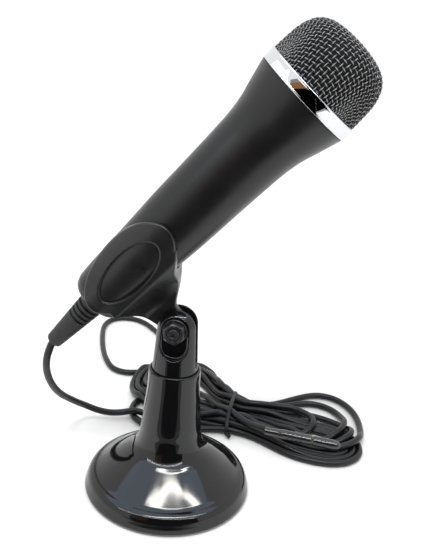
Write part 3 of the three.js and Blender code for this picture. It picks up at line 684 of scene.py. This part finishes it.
def tie_twist(front, phase):
    """One of the tie's two ends, twisted round the other where they lie on the desk."""
    turn = np.linspace(0, 1, 40)
    angle = phase + turn * 3.5 * math.pi
    return tube(np.stack([
        TIE_X - 0.9 + 2.4 * turn + 0.5 * np.cos(angle),
        front - 0.3 - 3.4 * turn + 0.4 * np.cos(angle),
        1.75 + 0.62 * np.sin(angle)], 1), 0.6, 8)


def add_tie():
    loop = tie_outline()
    front = loop[:, 0].min()
    shape = join([tie_band(loop), tie_twist(front, 0), tie_twist(front, math.pi)])
    return add_piece("tie", shape, TIE, "base", ("cord_tie",), sharp=50)


tie = add_tie()


# ---- plug
def add_plug():
    sleeve = smooth_curve([(-9, 2.3), (-4, 2.4), (0, 2.7)], 0.6).tolist()
    ribs = []
    for k in range(4):
        start = 4.5 + 2.6 * k
        ribs += [(start, PLUG_R), (start + 0.25, 2.75), (start + 0.85, 2.75), (start + 1.1, PLUG_R)]
    body = [(-9, 0), (-9, 2.1), *sleeve, (0.4, 2.85), (1.2, PLUG_R), *ribs, (17.8, PLUG_R),
            (18.7, 2.9), (19, 2.6), (19, 0)]
    grip = add_turned("plug_grip", body, 48, PLUG, "plug_body", to_plug, "base", sharp=40)
    outside = smooth_curve([(19.4, 2.6), (20, 2.85), (26, 2.95), (31.5, 2.9), (34.2, 2.25),
                            (35.5, 1.1), (35.8, 0)], 0.4)
    inside = smooth_curve([(34.7, 0), (34.2, 1.2), (33.2, 2.1), (19.5, 2.1)], 0.8)
    cover = add_turned("plug_cover", [*outside.tolist(), *inside.tolist()], 48, PLUG, "plug_cap",
                       to_plug, "base", sharp=50)
    return [grip, cover]


plug_pieces = add_plug()
for node, material in (("plug_sleeve", GOLD), ("plug_tip", GOLD), ("plug_insulator", PLUG)):
    dress(node, material)


# ---- strain relief
def add_boot():
    root_r, tip_r = 7.1, 4.3

    def radius(s):
        return root_r + (tip_r - root_r) * (TAIL_S - s) / (TAIL_S - BOOT_END_S)

    ribs = []
    for k in range(5):
        s = TAIL_S - 1.0 - 2.9 * k
        ribs += [(s, radius(s)), (s - 0.15, radius(s) - 0.25), (s - 0.3, radius(s) - 1.1),
                 (s - 1.2, radius(s) - 1.1), (s - 1.35, radius(s) - 0.35), (s - 1.5, radius(s - 1.5))]
    hole = CORD_D / 2 + 0.12
    profile = [(TAIL_S + 7.8, hole), (TAIL_S + 7.8, 3.4), (TAIL_S + 4.3, 3.4), (TAIL_S + 4.3, 9.2),
               (TAIL_S + 2.3, 9.2), (TAIL_S + 2.3, root_r), *ribs,
               (BOOT_END_S + 1.2, tip_r + 0.05), (BOOT_END_S + 0.5, tip_r - 0.1),
               (BOOT_END_S + 0.12, tip_r - 0.5), (BOOT_END_S, tip_r - 1.0), (BOOT_END_S, hole)]
    add_turned("boot", profile, 64, RUBBER, "strain_relief", sharp=45)


add_boot()


# ---- foot and neck
def add_foot():
    foot = smooth_curve([(1.0, 43.3), (1.5, 43.8), (2.6, 43.75), (5.0, 43.0), (7.2, 42.2),
                         (8.7, 41.2), (9.6, 40.0)], 0.4)
    ridge = smooth_curve([(9.6, 40.0), (10.0, 39.2), (10.35, 38.3), (11.0, 37.2)], 0.25)[1:]
    dish = smooth_curve([(11.0, 37.2), (16.2, 30.2), (22.0, 22.4)], 1.0)[1:]
    fillet = smooth_curve([(22.0, 22.4), (24.2, 19.8), (27.2, 17.7), (32.5, 16.2), (38, 15.6),
                           (45.5, 14.9), (58.5, 13.6), (68.7, 13.33)], 0.7)[1:]
    lip = [(69.2, 13.25), (69.5, 12.95), (69.5, 12.25), (69.1, 12.15)]
    inside = [(54.6, 12.15), (54.4, 2.6), (50.4, 2.6), (50.4, 11.4), (36.5, 13.0), (27.5, 14.0),
              (20.2, 19.8), (7.8, 36.8), (5.4, 40.9), (1.0, 41.3)]
    profile = [*foot.tolist(), *ridge.tolist(), *dish.tolist(), *fillet.tolist(), *lip, *inside]
    points, faces = lathe(profile, 160)
    add_piece("foot", (points[:, [1, 2, 0]], faces), GLOSS, "base", ("base_shell",), sharp=60)


add_foot()


# ---- fork
NECK_TOP = 69.5
FORK_END = 56.0  # its lower end, inside the neck
FORK_FOOT_R = 11.85
FORK_TOP_R = 10.5
SLOT_HALF = 3.4
SLOT_FLOOR = 71.5
POCKET_FLOOR = 7.4
POCKET_HALF_W = 7.0
POCKET_DROP = 8.0
PIVOT_HOLE_R = 3.2
HINGE_Z = float(HINGE[2])


def fork_field(p):
    x, y, z = p[:, 0], p[:, 1], p[:, 2]
    rise = np.clip((z - NECK_TOP) / (HINGE_Z - NECK_TOP), 0, 1)
    around = np.hypot(x, y) - (FORK_FOOT_R + (FORK_TOP_R - FORK_FOOT_R) * rise)
    dome = np.sqrt(x ** 2 + y ** 2 + (z - HINGE_Z) ** 2) - FORK_TOP_R
    post = np.where(z < HINGE_Z, around, dome)
    post = smooth_max(post, FORK_END - z, 0.8)
    slot = smooth_max(np.abs(y) - SLOT_HALF, SLOT_FLOOR - z, 2.0)
    post = smooth_max(post, -slot, 1.0)
    below = np.clip(z, HINGE_Z - POCKET_DROP, HINGE_Z)
    stadium = np.hypot(x, z - below) - POCKET_HALF_W
    pocket = smooth_max(stadium, POCKET_FLOOR - np.abs(y), 1.4)
    post = smooth_max(post, -pocket, 0.7)
    hole = np.hypot(x, z - HINGE_Z) - PIVOT_HOLE_R
    screw = smooth_max(np.hypot(x, y) - 2.3, z - 67.5, 0.5)
    return smooth_max(smooth_max(post, -hole, 0.4), -screw, 0.4)


add_piece("fork", field_surface(fork_field, (-13, -13, 54.6), (13, 13, 105), 0.42), GLOSS, "base",
          ("yoke",))


# ---- pivot hardware
NUT_SEAT = POCKET_FLOOR + 1.5
NUT_T = 4.0
NUT_FLATS = 10.0
THREAD_PITCH = 1.0


def to_pivot(points, side):
    """From (x, up, outwards from the middle plane) to the row frame, on the front or rear ear."""
    p = np.asarray(points, float)
    return np.stack([p[:, 0] * -side, side * p[:, 2], p[:, 1] + HINGE_Z], 1)


def hex_field(p):
    """A chamfered hexagon standing on the pocket's washer."""
    reach = [p[:, 0] * math.cos(a) + p[:, 1] * math.sin(a)
             for a in (math.radians(60 * k + 10) for k in range(3))]
    hexagon = np.abs(reach[0])
    for value in reach[1:]:
        hexagon = smooth_max(hexagon, np.abs(value), 0.35)
    slab = np.abs(p[:, 2] - NUT_SEAT - NUT_T / 2) - NUT_T / 2
    solid = smooth_max(hexagon - NUT_FLATS / 2, slab, 0.3)
    radius = np.hypot(p[:, 0], p[:, 1])
    chamfer = (radius - 5.15 + (p[:, 2] - NUT_SEAT - NUT_T + 0.35) * 1.5) * 0.55
    return smooth_max(solid, chamfer, 0.2)


def nut_field(p):
    radius = np.hypot(p[:, 0], p[:, 1])
    countersink = (3.7 - radius - (NUT_SEAT + NUT_T - p[:, 2])) * 0.7
    hole = smooth_min(radius - 3.1, -countersink, 0.2)
    return smooth_max(hex_field(p), -hole, 0.2)


def bolt_field(p):
    """The bolt's threaded end, domed and slightly proud of the nut."""
    radius = np.hypot(p[:, 0], p[:, 1])
    angle = np.arctan2(p[:, 1], p[:, 0]) / (2 * math.pi)
    groove = 0.16 * np.cos(2 * math.pi * (p[:, 2] / THREAD_PITCH - angle))
    top = NUT_SEAT + NUT_T + 0.55
    rod = smooth_max(radius - 2.75 - groove, p[:, 2] - top, 0.6)
    socket = smooth_max(radius - 1.25, top - 0.7 - p[:, 2], 0.3)
    rod = smooth_max(rod, -socket, 0.25)
    return smooth_max(rod, -(p[:, 2] + NUT_SEAT - 0.2), 0.3)


def add_pivot():
    low, high = (-6.2, -6.2, NUT_SEAT - 0.4), (6.2, 6.2, NUT_SEAT + NUT_T + 0.4)
    points, faces = field_surface(nut_field, low, high, 0.22)
    add_piece("nut", (to_pivot(points, -1), faces), BLACK_STEEL, "base", ("pivot_nut",))
    points, faces = field_surface(bolt_field, (-3.4, -3.4, -NUT_SEAT - 0.4),
                                  (3.4, 3.4, NUT_SEAT + NUT_T + 1.0), 0.2, relax=1)
    shank = (to_pivot(points, -1), faces)
    points, faces = field_surface(hex_field, low, high, 0.25)
    add_piece("bolt", join([shank, (to_pivot(points, 1), faces)]), BLACK_STEEL, "base",
              ("pivot_bolt",))
    low, high = POCKET_FLOOR + 0.3, POCKET_FLOOR + 1.2
    washer = [(low, PIVOT_HOLE_R), (low, 6.05), (low + 0.15, 6.2), (high - 0.2, 6.2), (high, 6.0),
              (high, 3.4), (high - 0.15, PIVOT_HOLE_R)]
    for side, node in ((-1, "pivot_washer_front"), (1, "pivot_washer_rear")):
        points, faces = lathe(washer, 64)
        placed = to_pivot(points[:, [1, 2, 0]], side)
        add_piece(node.replace("pivot_", ""), (placed, faces), BLACK_STEEL, "base", (node,), sharp=40)


add_pivot()


# ---- clip
HANDLE_SIDE = np.array([
    (-16.4, 14.3), (-8, 14.9), (15, 15.8), (40, 17.0), (60, 17.5), (80, 18.1), (91, 18.7),
    (100, 20.0), (107, 21.9), (118.4, 24.9),
])
CLIP_MID = 9.5
WING = (28.5, 15.7)
RECESS = (20.2, 9.2)
RECESS_DEPTH = 1.35
WING_TURN = math.radians(2)
TONGUE_R = 7.0
TONGUE_HALF = 2.3
CLIP_WALL = 2.5
CLIP_GAP = 0.35


def bezier(a, b, c, d, count=14):
    t = np.linspace(0, 1, count, endpoint=False)[:, None]
    a, b, c, d = (np.array(v, float) for v in (a, b, c, d))
    return (1 - t) ** 3 * a + 3 * (1 - t) ** 2 * t * b + 3 * (1 - t) * t * t * c + t ** 3 * d


def polygon_distance(u, v, corners):
    """Signed distance from points to a closed outline, negative inside."""
    best = np.full(len(u), 1e9)
    inside = np.zeros(len(u), bool)
    for (x0, y0), (x1, y1) in zip(corners, np.roll(corners, -1, axis=0)):
        ex, ey = x1 - x0, y1 - y0
        wx, wy = u - x0, v - y0
        t = np.clip((wx * ex + wy * ey) / (ex * ex + ey * ey), 0, 1)
        best = np.minimum(best, (wx - ex * t) ** 2 + (wy - ey * t) ** 2)
        crosses = (y0 > v) != (y1 > v)
        with np.errstate(divide="ignore", invalid="ignore"):
            at = ex * (v - y0) / ey + x0
        inside ^= crosses & (u < at)
    return np.where(inside, -1, 1) * np.sqrt(best)


def ellipse_distance(u, v, centre, half):
    c, s = math.cos(WING_TURN), math.sin(WING_TURN)
    a, b = u - centre[0], v - centre[1]
    a, b = c * a + s * b, c * b - s * a
    k0 = np.hypot(a / half[0], b / half[1])
    k1 = np.hypot(a / half[0] ** 2, b / half[1] ** 2)
    return k0 * (k0 - 1) / np.maximum(k1, 1e-6)


STEM_OUTLINE = np.vstack([
    [(TONGUE_R, 0)],
    bezier((TONGUE_R, 7.6), (8.6, 10.6), (17, 13.4), (20.6, 19)),
    bezier((20.6, 19), (23, 22.6), (28, 23.4), (33.4, 29)),
    [(33.4, 29), (-14, 30)],
    bezier((-14.8, 25.4), (-9.6, 21.6), (-9.4, 16), (-7.6, 10.6)),
    [(-TONGUE_R, 7.6), (-TONGUE_R, 0)],
    [(-TONGUE_R * math.cos(a), -TONGUE_R * math.sin(a)) for a in np.linspace(0, math.pi, 20)[1:-1]],
])
STEM_SECTION = np.vstack([
    [(-TONGUE_HALF, -TONGUE_R - 1), (TONGUE_HALF, -TONGUE_R - 1)],
    bezier((TONGUE_HALF, TONGUE_R + 4.4), (3.2, 18.6), (8.6, 21), (13.6, 25.6)),
    [(13.6, 25.6), (0, 31)],
    bezier((-13.6, 25.6), (-8.6, 21), (-3.2, 18.6), (-TONGUE_HALF, TONGUE_R + 4.4)),
])


def clip_field(p):
    x, y, z = p[:, 0], p[:, 1], p[:, 2]
    from_axis = np.hypot(y, z - AXIS_OFFSET) - np.interp(x, HANDLE_SIDE[:, 0], HANDLE_SIDE[:, 1])
    outer = from_axis - CLIP_GAP - CLIP_WALL
    stem = polygon_distance(y, z, STEM_SECTION)
    solid = smooth_min(outer, stem, 7.0)
    wing = ellipse_distance(x, z, (CLIP_MID, AXIS_OFFSET), WING)
    outline = smooth_min(wing, polygon_distance(x, z, STEM_OUTLINE), 0.6)
    solid = smooth_max(solid, outline, 0.9)
    solid = smooth_max(solid, CLIP_GAP - from_axis, 0.5)
    mouth = smooth_max(np.abs(y) - 8.4, AXIS_OFFSET - z, 0.5)
    solid = smooth_max(solid, -mouth, 0.9)
    recess = ellipse_distance(x, z, (CLIP_MID - 0.8, AXIS_OFFSET - 1.2), RECESS)
    recess = smooth_max(recess, CLIP_GAP + CLIP_WALL - RECESS_DEPTH - from_axis, 1.0)
    recess = np.maximum(recess, 8 - np.abs(y))
    solid = smooth_max(solid, -recess, 0.35)
    return smooth_max(solid, PIVOT_HOLE_R - np.hypot(x, z), 0.4)


def add_clip():
    points, faces = field_surface(clip_field, (-21, -20, -8.2), (41, 20, 56), 0.38)
    add_piece("clip", (to_clip(points), faces), CLIP, "holder", ("holder",))


add_clip()


# ---- microphone
def add_handle():
    tail = smooth_curve([(TAIL_S, 7.4), (TAIL_S, 9.6), (-20.75, 11.4), (-19.6, 13.0),
                         (-16.4, 14.3)], 0.4)
    side = smooth_curve(HANDLE_SIDE, 1.0)[1:]
    rim = [(118.55, 24.75), (118.55, 22.6)]
    inner = [(s, r - 2.0) for s, r in HANDLE_SIDE[::-1]]
    profile = [*tail.tolist(), *side.tolist(), *rim, *inner, (-15.4, 11.8), (-19, 10.2), (-19, 7.4)]
    add_turned("body", profile, 160, SATIN, "handle", sharp=55)


def add_collar():
    low, high = COLLAR_S
    outside = [(low, 24.5), (low + 0.1, 24.95), (low + 0.35, 25.2), (low + 0.65, 25.22),
               (low + 0.9, 25.1), (low + 1.1, 25.05), (high - 1.5, 25.2), (high - 1.2, 25.25),
               (high - 0.9, 25.48), (high - 0.5, 25.52), (high - 0.15, 25.35), (high, 24.95)]
    profile = [*outside, (high, 24.55), (high - 0.6, 24.3), (high - 0.6, 21.8), (low, 21.8)]
    add_turned("plated_ring", profile, 200, CHROME, "chrome_collar", sharp=50)


BASKET_SIDE = smooth_curve([
    (CROWN_S, 0), (151.5, 5), (150.9, 10), (149.8, 14.5), (148, 18), (145.5, 20.6), (142, 22.5),
    (138, 23.7), (132, 24.35), (GRILLE_S, 24.65), (124.3, 24.6),
], 0.25)
WIRE_PITCH = 2.3
WIRE_R = 0.27
WIRE_SIDES = 6
WEAVE = 1.05  # how far a wire swings, in wire radii
WEAVE_TURN = math.radians(-98)  # sideways angle that one set of wires faces


def basket_point(u, v, lift):
    """Where a point of the flat cloth of wire lands when it is pressed over the basket's form."""
    steps = np.linalg.norm(np.diff(BASKET_SIDE, axis=0), axis=1)
    from_crown = np.concatenate([[0], np.cumsum(steps)])
    slope = np.gradient(BASKET_SIDE, axis=0)
    slope /= np.linalg.norm(slope, axis=1)[:, None]
    t = np.hypot(u, v)
    s = np.interp(t, from_crown, BASKET_SIDE[:, 0])
    r = np.interp(t, from_crown, BASKET_SIDE[:, 1])
    out_s = np.interp(t, from_crown, slope[:, 1])
    out_r = -np.interp(t, from_crown, slope[:, 0])
    gather = np.where(t > 1, r / np.maximum(t, 1), 1.0)
    theta = np.arctan2(v, u)
    theta = theta + 0.25 * (1 - gather) * np.sin(4 * theta) + WEAVE_TURN
    s, r = s + lift * out_s, r + lift * out_r
    return np.stack([s, r * np.cos(theta), r * np.sin(theta)], 1), t <= from_crown[-1]


def add_basket():
    """Plain-woven wire, over one and under the next, with a painted highlight on the crests where each
    wire rises.
    """
    total = np.linalg.norm(np.diff(BASKET_SIDE, axis=0), axis=1).sum()
    number = int(total / WIRE_PITCH) + 1
    run = np.arange(-total, total, WIRE_PITCH / 6)
    wires, crest_highlights = [], []
    for k in range(-number, number):
        fixed = np.full(len(run), (k + 0.5) * WIRE_PITCH)
        for warp in (True, False):
            wave = np.cos(math.pi * (run / WIRE_PITCH - 0.5)) * (-1) ** k * (1 if warp else -1)
            place_at = (fixed, run) if warp else (run, fixed)
            form, on_form = basket_point(*place_at, 0)
            outward = basket_point(*place_at, 1)[0] - form
            place = form + (WIRE_R * (WEAVE * wave - 2))[:, None] * outward
            if on_form.sum() < 9:
                continue
            points, faces = tube(place[on_form], WIRE_R, WIRE_SIDES)
            rows = points.reshape(-1, WIRE_SIDES, 3) - form[on_form][:, None]
            height = (rows * outward[on_form][:, None]).sum(2).ravel() / WIRE_R
            wires.append((points, faces))
            # how far each point rises on its wire, which the material turns into a painted highlight
            crest_highlights.append(np.clip((height + 1.0) / 0.8, 0, 1))
    points, faces = join(wires)
    basket = add_piece("wire_basket", (to_microphone(points), faces), WIRE, "microphone", ("grille",))
    # the rise per vertex, read by the material as a painted highlight
    crest_highlight = basket.data.attributes.new("crest_highlight", "FLOAT", "POINT")
    crest_highlight.data.foreach_set("value", np.concatenate(crest_highlights).astype(np.float32))


def add_liner():
    """The foam inside the basket, seen as dark depth between the wires."""
    def inset(crown_gap, narrower):
        side = [(s - crown_gap * (s - GRILLE_S) / (CROWN_S - GRILLE_S), r * narrower)
                for s, r in BASKET_SIDE[::6]]
        return [(s, r) for s, r in side if s > 124.6]

    add_turned("foam_liner", [*inset(1.7, 0.925), *inset(4.5, 0.78)[::-1]], 96, FOAM, "windscreen",
               slot="foam")


add_handle()
add_collar()
add_basket()
add_liner()

INNER_PIECES = (
    (("base_plate", "grille_seat", "capsule_carrier"), SATIN),
    (("base_pad", "capsule_grommet"), RUBBER),
    (("base_screw_1", "base_screw_2", "base_screw_3", "yoke_screw", "yoke_washer", "capsule"), STEEL),
    (("base_weight",), IRON),
    (("friction_washer_front", "friction_washer_rear"), NYLON),
    (("capsule_felt",), FOAM),
    (("capsule_board",), BOARD),
    (("lead_signal",), RED_WIRE),
    (("lead_ground",), CORD),
)
for names, material in INNER_PIECES:
    for name in names:
        dress(name, material)


# ---- studio, in metres
CARDS_Y = -0.62  # how far in front the upright cards stand
BLACK_GLOW = (0, 0, 0, 0)
DISH_RADIUS = (22.2, 38.4)  # inner and outer edge of the foot's sloping dish, in mm
DISH_HEIGHT = (22.2, 10.0)
DISH_NORMAL = (0.6, 0.8)  # outwards and up


def add_floor():
    mesh = bpy.data.meshes.new("floor")
    mesh.from_pydata(level((-3, 3), (-3, 3), -2e-4), [], [[0, 1, 2, 3]])
    mesh.materials.append(make_finish("floor", (0.95, 0.95, 0.95), 0.6))
    floor = bpy.data.objects.new("floor", mesh)
    bpy.context.scene.collection.objects.link(floor)


def add_area(name, place, aim, size, power):
    data = bpy.data.lights.new(name, "AREA")
    data.shape = "RECTANGLE"
    data.size, data.size_y = size
    data.energy = power
    light = bpy.data.objects.new(name, data)
    direction = Vector(aim) - Vector(place)
    turn = direction.to_track_quat("-Z", "Y").to_matrix().to_4x4()
    light.matrix_world = Matrix.Translation(place) @ turn
    light.visible_glossy = False  # cards stand in for its reflection
    bpy.context.scene.collection.objects.link(light)


def upright(across, y, heights):
    (x0, x1), (z0, z1) = across, heights
    return [(x0, y, z0), (x1, y, z0), (x1, y, z1), (x0, y, z1)]


def level(across, deep, z):
    (x0, x1), (y0, y1) = across, deep
    return [(x0, y0, z), (x1, y0, z), (x1, y1, z), (x0, y1, z)]


def overhead_spot(angle, out, height=1.0):
    """Where over the set a card shows in the foot's dish, at an angle from its front in degrees
    and at out, from 0 at the dish's inner edge to 1 at its outer edge."""
    turn = math.radians(angle)
    radius = np.interp(out, (0, 1), DISH_RADIUS)
    place = np.array([radius * math.sin(turn), -radius * math.cos(turn),
                      np.interp(out, (0, 1), DISH_HEIGHT)])
    normal = np.array([DISH_NORMAL[0] * math.sin(turn), -DISH_NORMAL[0] * math.cos(turn),
                       DISH_NORMAL[1]])
    seen = place - np.array(CAMERA_PLACE)
    seen /= np.linalg.norm(seen)
    bounce = seen - 2 * (seen @ normal) * normal
    place = place * MM
    return tuple(place + bounce * (height - place[2]) / bounce[2])


def add_card(name, corners, glow):
    """A plain card that only reflections see. glow is a colour and its strength, 0 for black."""
    material = bpy.data.materials.new(name)
    material.use_nodes = True
    nodes = material.node_tree.nodes
    nodes.clear()
    shine = nodes.new("ShaderNodeEmission")
    shine.inputs["Color"].default_value = (*glow[:3], 1)
    shine.inputs["Strength"].default_value = glow[3]
    out = nodes.new("ShaderNodeOutputMaterial")
    material.node_tree.links.new(shine.outputs["Emission"], out.inputs["Surface"])
    mesh = bpy.data.meshes.new(name)
    mesh.from_pydata(corners, [], [list(range(len(corners)))])
    mesh.materials.append(material)
    card = bpy.data.objects.new(name, mesh)
    card.visible_camera = False
    card.visible_shadow = False
    card.visible_diffuse = False
    bpy.context.scene.collection.objects.link(card)


def add_dark_cards():
    add_card("dark_front", upright((-0.42, 0.8), CARDS_Y, (0, 0.6)), BLACK_GLOW)
    add_card("dark_near", [(-0.38, -0.61, 0.002), (0.4, -0.61, 0.002), (0.055, -0.1, 0.002),
                           (-0.045, -0.1, 0.002)], BLACK_GLOW)
    add_card("dim_near", [(-0.42, -0.615, 0.001), (0.44, -0.615, 0.001), (0.08, -0.085, 0.001),
                          (-0.075, -0.085, 0.001)], (1, 1, 1, 0.42))
    add_card("amber_front", upright((-0.3, -0.14), CARDS_Y + 0.02, (0.1, 0.6)), (0.5, 0.24, 0.1, 0.6))
    add_card("grey_front", upright((-0.42, -0.3), CARDS_Y + 0.02, (0.1, 0.6)), (0.5, 0.47, 0.45, 0.6))


def add_bright_cards():
    """The soft box over the set, its bright middle and two thin strips, as the foot mirrors them."""
    across = overhead_spot(-36, 0.5)[0], overhead_spot(45, 0.5)[0]
    add_card("panel", level(across, (-0.72, 0.3), 1.0), (0.72, 0.83, 1.0, 2.2))
    glare = ((9, 0.1), (17, 0.1), (25, 0.4), (40, 0.97), (34, 0.97), (19, 0.5), (11, 0.45),
             (3, 0.97), (-5, 0.97), (-1, 0.8), (-8, 0.7), (3, 0.35))
    add_card("glare", [overhead_spot(*at, 0.96) for at in glare], (1.0, 0.98, 0.92, 36))
    add_card("strip_1", upright(across, CARDS_Y + 0.01, (0.86, 0.884)), (1, 1, 1, 30))
    add_card("strip_2", upright(across, CARDS_Y + 0.01, (0.76, 0.784)), (1, 1, 1, 30))


def add_studio():
    world = bpy.data.worlds.new("studio")
    world.use_nodes = True
    background = world.node_tree.nodes["Background"]
    background.inputs["Color"].default_value = (1, 1, 1, 1)
    background.inputs["Strength"].default_value = 1.05
    bpy.context.scene.world = world
    add_floor()
    add_area("overhead", (-0.1, -0.45, 1.0), (0, 0, 0.05), (0.3, 0.2), 5)
    add_dark_cards()
    add_bright_cards()
    bpy.context.scene.view_settings.view_transform = "Standard"


add_studio()
